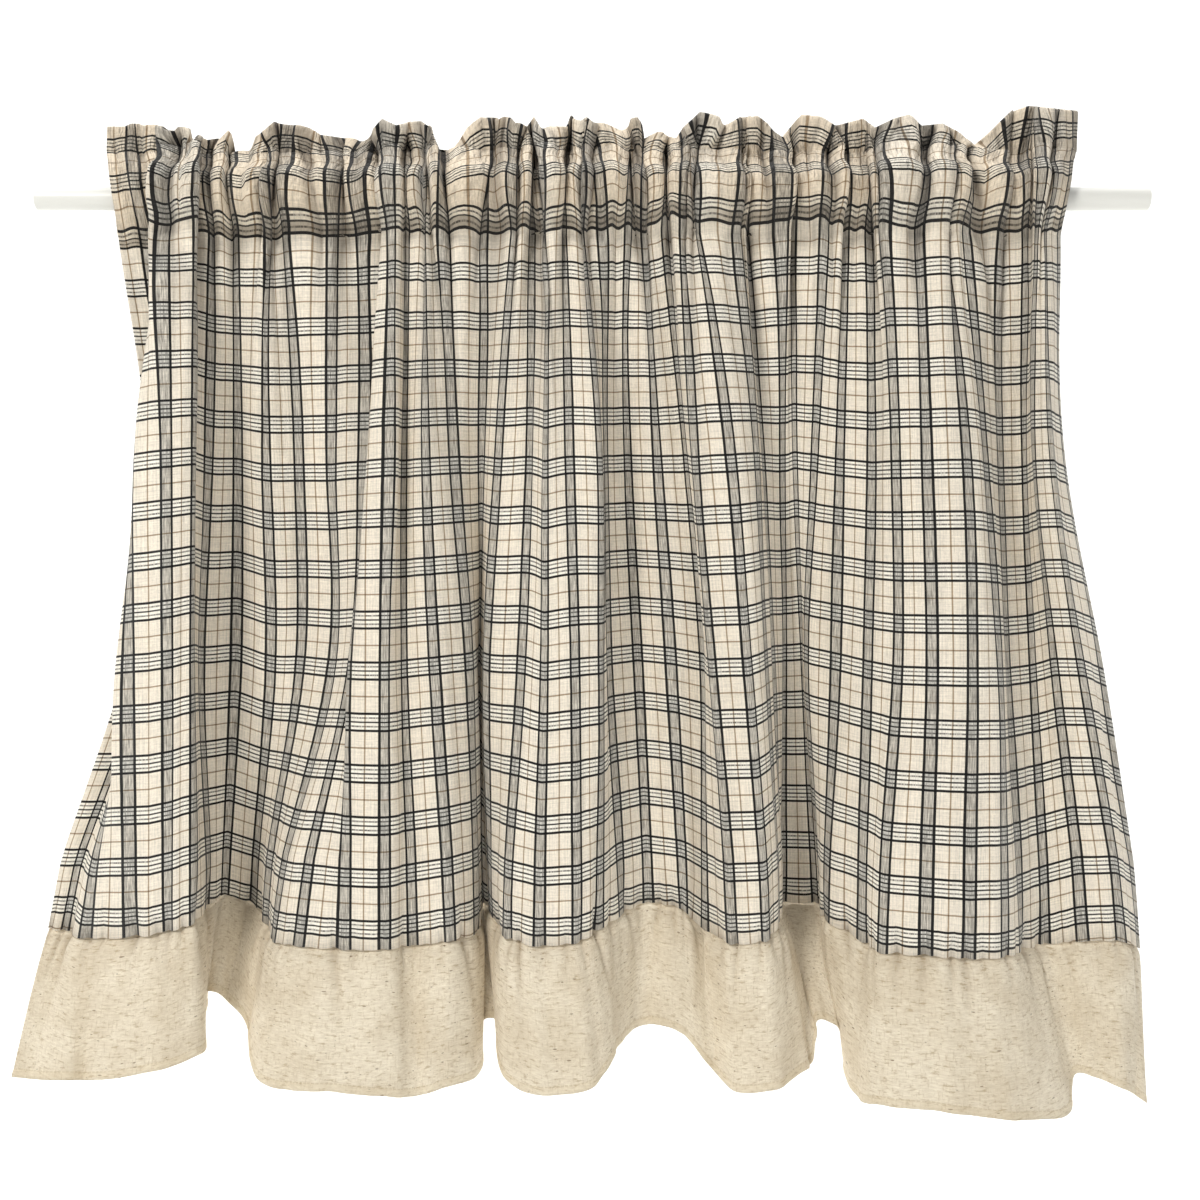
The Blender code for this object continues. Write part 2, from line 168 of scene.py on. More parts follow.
# The front layer of cloth round the rod: height in mm, how far it stands clear
# of the axis, the share of fold depth left, and how far the folds are pushed
# forward of the rod.
POCKET = np.array((
    (30.0, 0.4, 0.60, 0.10),
    (27.0, 2.0, 0.57, 0.30),
    (23.0, 4.6, 0.53, 0.52),
    (18.0, 7.6, 0.48, 0.78),
    (13.0, 9.6, 0.45, 0.95),
    (7.0, 10.4, 0.43, 1.0),
    (0.0, 10.2, 0.43, 1.0),
    (-6.0, 9.4, 0.45, 1.0),
    (-12.0, 7.4, 0.49, 0.75),
    (-17.0, 4.2, 0.54, 0.35),
    (-22.0, 0.6, 0.62, 0.0),
), dtype=float)
DEEPEST, SHALLOWEST = -18.0, 18.0

# How far the cloth above the pocket's foot is shifted sideways: at, columns
SPREAD = np.array((
    (0.31, -11), (1.1, -14), (2.0, -27), (2.3, -20), (2.66, -8), (3.1, 5),
    (3.5, 12), (3.75, 14), (4.0, 13), (4.6, 6), (5.2, 0), (41.5, 0), (44.1, 17),
), dtype=float)

# The header's top edge as seen from the front: column, row
HEADER_EDGE = np.array((
    (100, 127), (125, 127), (131, 124), (140, 124), (142, 126), (153, 125),
    (164, 127), (166, 131), (175, 131), (178, 127), (186, 127), (189, 129),
    (190, 150), (194, 152), (196, 138), (199, 135), (206, 140), (220, 139),
    (229, 129), (232, 136), (235, 153), (256, 153), (257, 137), (265, 131),
    (274, 123), (300, 126), (310, 129), (321, 135), (344, 138), (354, 139),
    (362, 143), (371, 138), (374, 128), (382, 119), (396, 126), (410, 122),
    (421, 121), (432, 129), (431, 139), (434, 149), (451, 152), (459, 142),
    (468, 126), (480, 117), (497, 118), (500, 121), (502, 117), (511, 118),
    (515, 123), (520, 123), (527, 127), (534, 117), (538, 124), (542, 130),
    (549, 126), (567, 127), (571, 115), (575, 120), (581, 121), (586, 117),
    (594, 123), (606, 124), (616, 129), (623, 131), (629, 127), (631, 119),
    (637, 117), (642, 124), (644, 139), (652, 135), (661, 131), (666, 136),
    (677, 139), (684, 127), (694, 118), (700, 112), (710, 114), (719, 116),
    (723, 125), (727, 125), (739, 118), (758, 116), (768, 124), (774, 132),
    (782, 138), (790, 128), (801, 115), (822, 117), (835, 126), (863, 119),
    (875, 128), (894, 119), (910, 114), (921, 126), (942, 124), (958, 132),
    (974, 147), (988, 134), (998, 124), (1012, 112), (1028, 106), (1047, 108),
    (1075, 111),
), dtype=float)

# Columns of the creases that part the header's lobes, and how far each lobe
# that begins there stands forward, in mm
LOBES = np.array((
    (90, 1), (133, 3), (165, 8), (193, 5), (213, 3), (222, 7), (235, 3),
    (257, 9), (291, 7), (322, 5), (345, 4), (373, 8), (407, 6), (434, 3),
    (462, 9), (483, 6), (505, 8), (528, 5), (541, 7), (568, 8), (581, 5),
    (594, 8), (628, 7), (645, 6), (664, 4), (686, 9), (722, 7), (746, 9),
    (779, 3), (794, 8), (834, 7), (874, 6), (900, 8), (940, 5), (974, 2),
    (989, 7), (1010, 5), (1033, 8), (1056, 4), (1090, 3),
), dtype=float)

rng = np.random.default_rng(11)


def hermite(xs, ys, x):
    """Smooth curve through the rows of a table; ys may hold one set or many."""
    xs = np.asarray(xs, float)
    ys = np.asarray(ys, float)
    h = np.diff(xs)
    many = ys.ndim > 1
    hh = h[:, None] if many else h
    sec = np.diff(ys, axis=0) / hh
    m = np.empty_like(ys)
    m[0], m[-1] = sec[0], sec[-1]
    m[1:-1] = (sec[:-1] * hh[1:] + sec[1:] * hh[:-1]) / (hh[:-1] + hh[1:])
    i = np.clip(np.searchsorted(xs, x, side="right") - 1, 0, len(xs) - 2)
    hi = h[i]
    u = (x - xs[i]) / hi
    if many:
        c = np.broadcast_to(np.arange(ys.shape[1]), i.shape)
        y0, y1, m0, m1 = ys[i, c], ys[i + 1, c], m[i, c] * hi, m[i + 1, c] * hi
        first, last = ys[0][c], ys[-1][c]
    else:
        y0, y1, m0, m1 = ys[i], ys[i + 1], m[i] * hi, m[i + 1] * hi
        first, last = ys[0], ys[-1]
    y = ((2 * u ** 3 - 3 * u ** 2 + 1) * y0 + (u ** 3 - 2 * u ** 2 + u) * m0
         + (-2 * u ** 3 + 3 * u ** 2) * y1 + (u ** 3 - u ** 2) * m1)
    y = np.where(u < 0, first + m0 * u, y)
    return np.where(u > 1, last + m1 * (u - 1), y)


AT = FOLDS[:, 0]
FIRST, LAST = AT[0], AT[-1]


class Cloth:
    """Fold layout sampled at the given places across the flat cloth."""

    def __init__(self, s):
        self.s = s
        self.cols = np.stack([hermite(AT, FOLDS[:, k], s) for k in range(1, 5)])
        self.outs = np.stack([hermite(AT, FOLDS[:, k], s) for k in range(5, 8)])
        names = ("head", "first", "last", "seam", "hem_col", "hem_row")
        for k, name in enumerate(names):
            setattr(self, name, np.interp(s, ENDS[:, 0], ENDS[:, k + 1]))
        self.spread = np.interp(s, SPREAD[:, 0], SPREAD[:, 1])

    def column(self, row):
        row = np.broadcast_to(row, row.shape)
        mid = hermite(FOLD_ROWS, self.cols, np.clip(row, 235.0, 860.0))
        slope = (self.cols[3] - self.cols[2]) / 200.0
        low = self.cols[3] + slope * 0.6 * (row - 860.0)
        rise = np.clip((235.0 - row) / 85.0, 0, 1)
        high = self.cols[0] + rise * self.spread
        return np.where(row > 860.0, low, np.where(row < 235.0, high, mid))

    def out(self, row):
        r = np.clip(row, 235.0, 860.0)
        a = (r - 235.0) / 325.0
        b = (r - 560.0) / 300.0
        top = self.outs[0] * (1 - a) + self.outs[1] * a
        low = self.outs[1] * (1 - b) + self.outs[2] * b
        return np.where(r < 560.0, top, low) * 0.001

    def point(self, z, out):
        near = 1 - out / EYE_RANGE
        seen = EYE_ROW - (z - EYE_Z) / (GRID * near)
        x = (self.column(seen) - AXIS_COLUMN) * GRID * near
        return np.stack([x, -out, z], axis=-1)


def row_height(row, out):
    """True height of something drawn at this row, standing this far forward."""
    return EYE_Z + (EYE_ROW - row) * GRID * (1 - out / EYE_RANGE)


def smooth(a, b, x):
    u = np.clip((x - a) / (b - a), 0, 1)
    return u * u * (3 - 2 * u)


def wander(s, z, cells, seed):
    """Soft irregular relief, -1 to 1: a sum of long sines with mixed phases."""
    g = np.random.default_rng(seed)
    total = np.zeros(np.broadcast(s, z).shape)
    for _ in range(cells):
        fs = g.uniform(0.25, 1.5)
        fz = g.uniform(-14.0, 14.0)
        total = total + g.uniform(0.5, 1.0) * np.sin(
            2 * math.pi * (fs * s + g.uniform()) + fz * z * 2 * math.pi * 0.5)
    return total / cells * 1.6


def grid_normals(P):
    du = np.gradient(P, axis=1)
    dv = np.gradient(P, axis=0)
    n = np.cross(dv, du)
    n /= np.linalg.norm(n, axis=-1, keepdims=True) + 1e-12
    return n


def valleys(step, low, high, seed):
    """Places of the valleys between neighbouring gathers, and each one's size."""
    g = np.random.default_rng(seed)
    at = [FIRST - 0.3]
    while at[-1] < LAST + 0.1:
        at.append(at[-1] + step * g.uniform(low, high))
    return np.array(at), g.uniform(0.45, 1.0, len(at))


def ridges(s, at, size, sharp, slot=0.0):
    """Rounded ridges with narrow valleys between them, 0 to 1; the sideways
    shift, in checks, that packs the cloth into the valleys; and how deep in a
    valley each place lies."""
    k = np.clip(np.searchsorted(at, s, side="right") - 1, 0, len(at) - 2)
    wide = at[k + 1] - at[k]
    u = np.clip((s - at[k]) / wide, 0, 1)
    shift = -wide / (2 * math.pi) * np.sin(2 * math.pi * u)
    u = np.clip((u - slot) / (1 - 2 * slot), 0, 1)
    round_u = np.sin(math.pi * u)
    return size[k] * round_u ** sharp, size[k] * shift, size[k] * (1 - round_u) ** 5


def tucks():
    """Small tucks along the seam: place, size, lean and half width in checks."""
    g = np.random.default_rng(31)
    at, rows = FIRST + 0.1, []
    while at < LAST - 0.05:
        rows.append((at, g.uniform(0.3, 1.0), g.uniform(-9.0, 9.0), g.uniform(0.08, 0.18)))
        at += 0.50 * g.uniform(0.5, 1.6)
    return rows


# --------------------------------------------------------------------- panel
def panel_surface():
    n = 612
    s = np.linspace(FIRST, LAST, n)
    c = Cloth(s)

    # one strip of cloth, from the turned end of the pocket's back layer, up
    # behind the rod, over the header's top edge and down the front to the seam
    fold = c.outs[0]

    def profile(z_mm, front):
        lead = np.interp(z_mm, POCKET[::-1, 0], POCKET[::-1, 1])
        keep = np.interp(z_mm, POCKET[::-1, 0], POCKET[::-1, 2])
        push = np.interp(z_mm, POCKET[::-1, 0], POCKET[::-1, 3])
        rest = (DEEPEST if front else SHALLOWEST) * push
        return ((lead if front else -lead) + keep * (fold - rest)) * 0.001

    def header_out(share):
        return fold * 0.001 * (0.60 + 0.10 * share)

    head_top = row_height(c.head, 0.0)
    rows, kinds, shares = [], [], []

    def add(kind, z, out, share=0.0):
        rows.append((np.broadcast_to(z, s.shape), out))
        kinds.append(kind)
        shares.append(share)

    for z in (-21.0, -17.0, -10.0, -2.0, 6.0, 14.0, 21.0, 26.5, 29.2):
        add("back", z * 0.001, profile(z, False))
    for share in (0.03, 0.25, 0.5, 0.75, 0.95):
        add("head_back", PINCH + (head_top - PINCH) * share, header_out(share), share)
    add("top", head_top, header_out(1.0), 1.0)
    for share in (0.96, 0.86, 0.74, 0.62, 0.50, 0.38, 0.26, 0.14, 0.05, 0.0):
        add("head_front", PINCH + (head_top - PINCH) * share, header_out(share), share)
    for z in (29.6, 29.0, 28.0, 26.5, 24.5, 22.0, 19.0, 15.5, 11.5, 7.0, 2.5,
              -2.0, -6.5, -10.5, -14.5, -18.5, -22.0):
        add("front", z * 0.001, profile(z, True))
    seam_z = row_height(c.seam, c.out(c.seam))
    low_rows = 37
    for k in range(low_rows + 1):
        share = 0.0015 if k == 0 else (k / low_rows) ** 1.15
        z = POCKET_FOOT + (seam_z - POCKET_FOOT) * share
        seen = EYE_ROW - (z - EYE_Z) / GRID
        keep = 0.62 + 0.38 * np.clip((POCKET_FOOT - z) / 0.06, 0, 1)
        add("hang", z, c.out(seen) * keep)

    Z = np.stack([r[0] for r in rows])
    OUT = np.stack([r[1] for r in rows])
    P = np.stack([c.point(z, o) for z, o in zip(Z, OUT)])
    S = np.broadcast_to(s, Z.shape)
    kinds = np.array(kinds)
    share = np.array(shares)[:, None] * np.ones(n)
    is_kind = lambda *names: np.isin(kinds, names)[:, None] & np.ones(n, bool)
    f = np.isin(kinds, ("top", "head_front", "front", "hang"))
    head = is_kind("head_back", "top", "head_front")

    # heights of the first and the fifteenth weft stripe group
    first_out = np.array([np.interp(-row_height(c.first[i], 0.012), -Z[f][:, i], OUT[f][:, i])
                          for i in range(n)])
    z_first = row_height(c.first, first_out)
    z_last = row_height(c.last, c.out(c.last))
    # a normal field that points to the room on every row
    N = np.zeros_like(P)
    N[f] = grid_normals(P[f])
    N[~f] = -grid_normals(P[~f])
    N[..., 2] = 0.0
    N /= np.linalg.norm(N, axis=-1, keepdims=True) + 1e-12

    # gathers: packed close where the cloth is stitched above the rod, fading
    # down the panel; a second line of stitching below the rod; long soft folds
    lean = 0.5 * np.sin(S * 1.3 + 0.7) + 0.4 * np.sin(S * 2.9)
    dz = Z - PINCH
    fine, fine_x, fine_v = ridges(S + lean * dz * 9.0, *valleys(0.95, 0.45, 1.65, 3), 0.60, 0.10)
    broad, broad_x, broad_v = ridges(S + lean * dz * 5.0, *valleys(2.3, 0.6, 1.4, 4), 0.70, 0.05)
    close, close_x, close_v = ridges(S + lean * dz * 12.0, *valleys(0.46, 0.5, 1.6, 6), 0.8, 0.06)
    foot, foot_x, foot_v = ridges(S - lean * (Z - POCKET_FOOT) * 8.0, *valleys(1.15, 0.6, 1.5, 5), 0.8)
    down = np.maximum(-dz, 0.0)
    above = np.exp(-(np.maximum(dz, 0.0) / 0.022) ** 2)
    reach = 0.055 + 0.022 * wander(S * 0.7, 0.0 * Z, 6, 15)
    fine_run = np.exp(-(down / reach) ** 1.5) * above
    broad_run = np.exp(-(down / 0.095) ** 1.6) * above
    foot_run = (np.exp(-(np.maximum(Z - POCKET_FOOT, 0.0) / 0.014) ** 2)
                * np.exp(-(np.maximum(POCKET_FOOT - Z, 0.0) / 0.050) ** 1.2))
    # close to the rod the gathers can only stand outwards
    clear = 0.5 * (1 - np.exp(-(Z / 0.014) ** 4))
    relief = (fine - clear) * 0.0185 * fine_run
    relief += (broad - clear) * 0.0120 * broad_run
    relief += (close - 0.5) * 0.0060 * np.exp(-(down / 0.026) ** 1.5) * above
    relief += (foot - 0.5) * 0.0036 * foot_run
    check = np.clip(np.gradient(P[..., 0], s, axis=1), 0.004, 0.020)
    sway = check * (1.20 * fine_x * fine_run + 0.75 * broad_x * broad_run
                    + 0.55 * close_x * np.exp(-(down / 0.026) ** 1.5) * above
                    + 0.5 * foot_x * foot_run)
    # the flat pieces at the two sides are barely gathered
    free = 0.12 + 0.88 * smooth(0.3, 2.0, S - FIRST) * smooth(0.2, 1.6, LAST - S)
    relief = relief * free
    sway = sway * free
    # painted shade: tight valleys hold tucks finer than this mesh, where hardly any light gets in, so they are darkened
    # in the colour
    crease_shade = (fine_v * fine_run ** 0.7 + 0.8 * broad_v * broad_run ** 0.7
             + 0.55 * close_v * np.exp(-(down / 0.020) ** 1.5) * above
             + 0.5 * foot_v * foot_run) * free

    # the header opens above the stitching into lobes
    seen_col = c.column(np.full(n, 150.0))
    lobe_at, lobe_out = LOBES[:, 0], LOBES[:, 1]
    k = np.clip(np.searchsorted(lobe_at, seen_col, side="right") - 1, 0, len(lobe_at) - 2)
    u = np.clip((seen_col - lobe_at[k]) / (lobe_at[k + 1] - lobe_at[k]), 0, 1)
    lobe = (lobe_out[k] * np.sin(math.pi * u) ** 0.6 - 3.5) * free
    open_up = np.where(head, smooth(-0.25, 0.75, share), smooth(0.012, 0.040, Z) * (Z > 0.010) * 0.22)
    relief = relief * np.where(head, 1 - 0.55 * share, 1.0) + 0.00125 * lobe * open_up
    wide = (lobe_at[k + 1] - lobe_at[k]) * GRID
    # painted shade in the creases between the header's lobes
    crease_shade += np.where(head, 0.8 * (1 - np.sin(math.pi * u)) ** 4 * (1 - 0.5 * share), 0.0) * free
    sway -= wide / (2 * math.pi) * np.sin(2 * math.pi * u) * 0.80 * open_up * free
    sway += np.where(head, share ** 1.2, 0.0) * 0.0030 * free * np.sin(2 * math.pi * (S * 0.47 + 0.25 * np.sin(S * 1.3)))

    # near the stitching the two layers touch, so no gather goes very deep
    shallow = smooth(0.004, 0.020, Z) * np.ones_like(relief)
    held = np.where(relief < -0.003, -0.003 + (relief + 0.003) * 0.30, relief)
    relief = relief * (1 - shallow) + held * shallow

    # round the rod the cloth may stand out but never cut in; behind the rod the
    # gathers stand out to the back
    round_rod = np.abs(Z) < 0.013
    pocket_back = is_kind("back")
    turn = np.where(pocket_back, 1 - 1.7 * smooth(0.030, 0.020, Z), 1.0)
    relief = relief * turn
    guard = np.where(np.abs(Z) < 0.016, 1.0, 0.0) * smooth(0.017, 0.010, np.abs(Z))
    front_floor = np.where(relief > -0.0012, relief, -0.0012)
    back_floor = np.where(relief < 0.0012, relief, 0.0012)
    relief = np.where(is_kind("front"), relief * (1 - guard) + front_floor * guard, relief)
    relief = np.where(pocket_back, relief * (1 - guard) + back_floor * guard, relief)
    hang = smooth(-0.02, -0.07, Z)
    relief += hang * 0.0012 * wander(S * 0.9, Z, 9, 21)
    relief += hang * 0.0006 * wander(S * 2.2, Z * 0.6, 8, 22)

    # in the gathers the cloth stands out towards the room, so that the walls of
    # a narrow fold never cross
    out_share = 0.75 * smooth(-0.12, -0.03, Z)[..., None]
    aim = N * (1 - out_share) + np.array((0.0, -1.0, 0.0)) * out_share
    aim /= np.linalg.norm(aim, axis=-1, keepdims=True)
    P = P + aim * relief[..., None]
    P[..., 0] += sway

    # the header's edge is trimmed to the outline seen from the front
    top = int(np.argmax(kinds == "top"))
    near = 1 + P[top, :, 1] / EYE_RANGE
    col = P[top, :, 0] / (GRID * near) + AXIS_COLUMN
    edge = EYE_Z + (EYE_ROW - np.interp(col, HEADER_EDGE[:, 0], HEADER_EDGE[:, 1])) * GRID * near
    grow = (edge - PINCH) / (P[top, :, 2] - PINCH)
    P[..., 2] = np.where(head, PINCH + (P[..., 2] - PINCH) * grow, P[..., 2])

    # cloth coordinates: checks across; weft repeats down, 0 on the first stripe
    # group, with the header's top edge on the same thread all the way along
    edge_t = -2.45
    high = P[top, :, 2]
    T = np.where(Z < z_first, 14.0 * (z_first - Z) / (z_first - z_last),
                 edge_t * (P[..., 2] - z_first) / (high - z_first))
    bend = 0.055 * wander(S * 0.6, 0.0 * Z, 7, 51) + 0.050 * wander(S * 1.7, 0.0 * Z, 7, 52)
    pulled = np.where(head, 1 - share, np.exp(-(np.maximum(-Z - 0.005, 0.0) / 0.035) ** 1.5))
    T = np.where(f[:, None], T + bend * pulled, 2 * edge_t - T)

    # the two layers of the header and the stitched lines lie a little apart
    near_foot = np.exp(-((Z - POCKET_FOOT) / 0.003) ** 2)
    layer = np.where(is_kind("head_front"), 0.0008, 0.0)
    layer = layer - np.where(is_kind("head_back"), 0.0008, 0.0)
    layer = layer + np.where(is_kind("front") & (Z > 0.022), 0.0005, 0.0)
    layer = layer - np.where(pocket_back, 0.0006 + 0.0008 * near_foot, 0.0)
    P = P + N * layer[..., None]
    # the stitched line above the rod rises and falls a little
    P[..., 2] += 0.0020 * wander(S * 1.1, 0.0 * Z, 7, 61) * np.exp(-(dz / 0.012) ** 2)
    # small tucks where the foot is gathered into the seam
    for at, size, lean_x, half in tucks():
        d = (S - at + lean_x * 0.5 * (Z - seam_z)) / half
        tuck = size * np.exp(-np.abs(d) ** 1.3) * np.exp(
            -(np.maximum(Z - seam_z, 0.0) / 0.014) ** 1.3)
        P -= N * (0.0028 * tuck)[..., None]
        P[..., 2] += 0.0016 * tuck
        # painted shade in each tuck
        crease_shade += 0.45 * tuck ** 1.5
    gather = np.exp(-(dz / 0.036) ** 2)
    # folds that stand forward hang clear of the layer stitched behind them, so the painted shade of the double cloth is
    # weaker there
    loose = smooth(1.0, 11.0, fold) * np.ones_like(Z)
    return P, S, T, gather, np.clip(crease_shade, 0.0, 1.0), loose


def mesh_from_grid(name, P, U, V, extra=None):
    rows, cols = P.shape[:2]
    verts = P.reshape(-1, 3)
    idx = np.arange(rows * cols).reshape(rows, cols)
    quads = np.stack([idx[:-1, :-1], idx[1:, :-1], idx[1:, 1:], idx[:-1, 1:]], -1).reshape(-1, 4)
    me = bpy.data.meshes.new(name)
    me.from_pydata(verts.tolist(), [], quads.tolist())
    me.update()
    uv = me.uv_layers.new(name="cloth")
    loops = np.empty(len(me.loops), dtype=np.int32)
    me.loops.foreach_get("vertex_index", loops)
    data = np.stack([U.reshape(-1)[loops], V.reshape(-1)[loops]], -1).astype(np.float32)
    uv.data.foreach_set("uv", data.reshape(-1))
    for key, values in (extra or {}).items():
        a = me.attributes.new(name=key, type="FLOAT", domain="POINT")
        a.data.foreach_set("value", values.reshape(-1).astype(np.float32))
    me.shade_smooth()
    ob = bpy.data.objects.new(name, me)
    bpy.context.scene.collection.objects.link(ob)
    return ob


# ------------------------------------------------------------------- ruffle
def ruffle_surface():
    n = 620
    s = np.linspace(FIRST, LAST, n)
    c = Cloth(s)
    seam_z = row_height(c.seam, c.out(c.seam))
    head = c.point(seam_z, c.out(c.seam))
    even = np.stack([np.interp(s + d, s, -head[:, 1]) for d in np.linspace(-0.9, 0.9, 7)]).mean(0)
    hem_out = (0.5 * -head[:, 1] + 0.5 * even) * 1.10 + 0.004
    hem_out = np.maximum(hem_out, np.interp(s, (FIRST, 2.0, 3.2), (0.018, 0.026, 0.0)))
    near = 1 - hem_out / EYE_RANGE
    hem_col, hem_row = hermite(ENDS[:, 0], ENDS[:, 5], s), hermite(ENDS[:, 0], ENDS[:, 6], s)
    hem = np.stack([(hem_col - AXIS_COLUMN) * GRID * near, -hem_out,
                    EYE_Z + (EYE_ROW - hem_row) * GRID * near], -1)
    shares = np.concatenate([[-0.04, 0.0, 0.012, 0.03, 0.055, 0.085, 0.12],
                             np.linspace(0.16, 0.90, 18),
                             [0.92, 0.94, 0.95, 0.96, 0.975, 1.0]])
    P = head[None] + (hem - head)[None] * shares[:, None, None]
    # the seam allowance stands up behind the panel's foot
    P[0] = head + np.array((0.0, 0.0006, 0.0036))
    H = np.broadcast_to(shares[:, None], (len(shares), n))
    S = np.broadcast_to(s, H.shape)
    N = grid_normals(P)
    N[..., 2] *= 0.3
    N /= np.linalg.norm(N, axis=-1, keepdims=True) + 1e-12
    drop = np.linalg.norm(hem - head, axis=-1)
    D = H * drop
    relief = np.zeros_like(D)
    crease_shade = np.zeros_like(D)
    for k, (at, size, lean, half) in enumerate(tucks()):
        run = 0.007 + 0.022 * size * (0.4 + 0.9 * ((k * 7) % 5) / 4)
        d = (S - at - lean * D) / half
        tuck = size * np.exp(-np.abs(d) ** 1.3) * np.exp(-(np.maximum(D, 0.0) / run) ** 1.4)
        relief -= 0.0045 * tuck
        # painted shade in each tuck
        crease_shade += 0.55 * tuck ** 1.5
    # the cloth stands out below the seam, less so in the deep recesses and not
    # at the free edge
    deep = smooth(0.010, 0.028, head[:, 1])
    puff = 0.0022 * smooth(0.0, 1.2, LAST - s)
    relief += puff * smooth(0.0, 0.10 + 0.45 * deep, H) * (1 - 0.6 * smooth(0.3, 1.0, H))
    grow = smooth(0.0, 1.0, H)
    relief += grow * 0.0010 * np.sin(2 * math.pi * (S * 0.36 + 0.3 * np.sin(S * 0.55)))
    relief += grow * 0.0008 * np.sin(2 * math.pi * (S * 0.83 + 0.3 * np.sin(S * 0.8 + 2)))
    relief += 0.0006 * wander(S * 1.3, D, 8, 41)
    # the head tucks behind the panel's foot
    relief -= 0.0012 * (1 - smooth(-0.02, 0.03, H))
    # the hem is turned up: a little proud, with a groove at its stitching
    turn = drop - D
    relief += 0.00025 * smooth(0.0052, 0.0042, turn)
    relief -= 0.00035 * np.exp(-((turn - 0.0048) / 0.0009) ** 2)
    P = P + N * relief[..., None]
    P[..., 1] += 0.0022 * (1 - 0.9 * deep) * (1 - smooth(-0.02, 0.06, H))
    U = S * WARP_REPEAT * 1.06
    return P, U, -D, turn, np.clip(crease_shade, 0.0, 1.0)


# ---------------------------------------------------------------- materials
class Nodes:
    def __init__(self, name):
        self.mat = bpy.data.materials.new(name)
        self.mat.use_nodes = True
        self.tree = self.mat.node_tree
        self.shader = self.tree.nodes["Principled BSDF"]

    def new(self, kind, **values):
        node = self.tree.nodes.new(kind)
        for k, v in values.items():
            setattr(node, k, v)
        return node

    def put(self, socket, value):
        if isinstance(value, bpy.types.NodeSocket):
            self.tree.links.new(value, socket)
        else:
            socket.default_value = value

    def math(self, op, a, b=0.0, c=None):
        node = self.new("ShaderNodeMath", operation=op)
        self.put(node.inputs[0], a)
        self.put(node.inputs[1], b)
        if c is not None:
            self.put(node.inputs[2], c)
        return node.outputs[0]

    def ramp(self, value, low, high, out_low=0.0, out_high=1.0):
        node = self.new("ShaderNodeMapRange", interpolation_type="SMOOTHSTEP")
        for i, v in enumerate((value, low, high, out_low, out_high)):
            self.put(node.inputs[i], v)
        return node.outputs[0]

    def line(self, distance, at, half, soft):
        """1 on a line at this distance, 0 away from it."""
        off = self.math("ABSOLUTE", self.math("SUBTRACT", distance, at))
        return self.ramp(off, half, half + soft, 1.0, 0.0)

    def mix(self, factor, a, b, blend="MIX"):
        node = self.new("ShaderNodeMix", data_type="RGBA", blend_type=blend)
        self.put(node.inputs[0], factor)
        self.put(node.inputs[6], a)
        self.put(node.inputs[7], b)
        return node.outputs[2]

    def noise(self, vector, scale, detail=2.0, rough=0.5):
        node = self.new("ShaderNodeTexNoise")
        self.put(node.inputs["Vector"], vector)
        node.inputs["Scale"].default_value = scale
        node.inputs["Detail"].default_value = detail
        node.inputs["Roughness"].default_value = rough
        return node.outputs[0]

    def stretch(self, vector, x, y, z=1.0):
        node = self.new("ShaderNodeVectorMath", operation="MULTIPLY")
        self.put(node.inputs[0], vector)
        node.inputs[1].default_value = (x, y, z)
        return node.outputs[0]


def srgb(r, g, b):
    def lin(v):
        v /= 255.0
        return v / 12.92 if v <= 0.04045 else ((v + 0.055) / 1.055) ** 2.4
    return (lin(r), lin(g), lin(b), 1.0)


